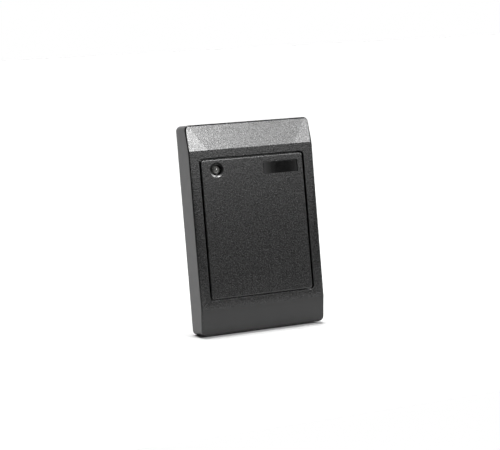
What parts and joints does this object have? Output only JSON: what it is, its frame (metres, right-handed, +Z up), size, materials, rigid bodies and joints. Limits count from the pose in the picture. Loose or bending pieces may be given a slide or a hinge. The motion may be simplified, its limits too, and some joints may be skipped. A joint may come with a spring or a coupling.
{
  "type": "rfid card reader",
  "caption": "Slim black wall-mounted proximity card reader: sloped-end housing, pull-off front panel, status light, antenna coil, circuit board and screwed rear cover.",
  "frame": {"origin": "centre of the flat back that lies against the wall", "axes": "+X to the right seen from the front, -Y out of the front face, +Z up"},
  "size_m": [0.075, 0.015, 0.115],
  "materials": {
    "housing_plastic": "fine grained black ABS",
    "panel_plastic": "coarser grained black ABS",
    "badge": "smooth black",
    "led_resin": "clear domed resin",
    "rubber": "matt black rubber",
    "steel": "zinc plated",
    "board": "green solder mask",
    "copper": "enamelled copper winding",
    "component_black": "moulded black epoxy",
    "ceramic": "fired ceramic",
    "tin": "tinned wire",
    "socket": "natural nylon",
    "label": "blank silver film"
  },
  "bodies": {
    "reader": {"antenna_coil": "copper", "board_screw_1": "steel", "board_screw_2": "steel", "board_screw_3": "steel", "board_screw_4": "steel", "buzzer": "component_black", "cable_grommet": "rubber", "cable_socket": "socket", "circuit_board": "board", "coil_lead_1": "copper", "coil_lead_2": "copper", "crystal": "steel", "driver_transistor_1": "component_black", "driver_transistor_2": "component_black", "driver_transistor_3": "component_black", "front_housing": "housing_plastic", "led_lead_1": "tin", "led_lead_2": "tin", "led_lead_3": "tin", "microcontroller": "component_black", "radio_chip": "component_black", "rating_label": "label", "rear_cover": "housing_plastic", "rear_cover_screw_1": "steel", "rear_cover_screw_2": "steel", "rear_cover_screw_3": "steel", "rear_cover_screw_4": "steel", "rear_seal": "rubber", "resistor_1": "ceramic", "resistor_2": "ceramic", "resistor_3": "ceramic", "resistor_4": "ceramic", "resistor_5": "ceramic", "resistor_6": "ceramic", "smoothing_capacitor_1": "steel", "smoothing_capacitor_2": "steel", "status_led": "led_resin", "supply_diode": "component_black", "surge_suppressor": "component_black", "tuning_capacitor_1": "ceramic", "tuning_capacitor_2": "ceramic", "voltage_regulator": "component_black"},
    "face_panel": {"front_panel": "panel_plastic", "badge_plate": "badge"}
  },
  "joints": [
    {"name": "panel_slide", "type": "slide", "parent": "reader", "child": "face_panel", "axis": [0, -1, 0], "range_m": [0, 0.012]}
  ]
}
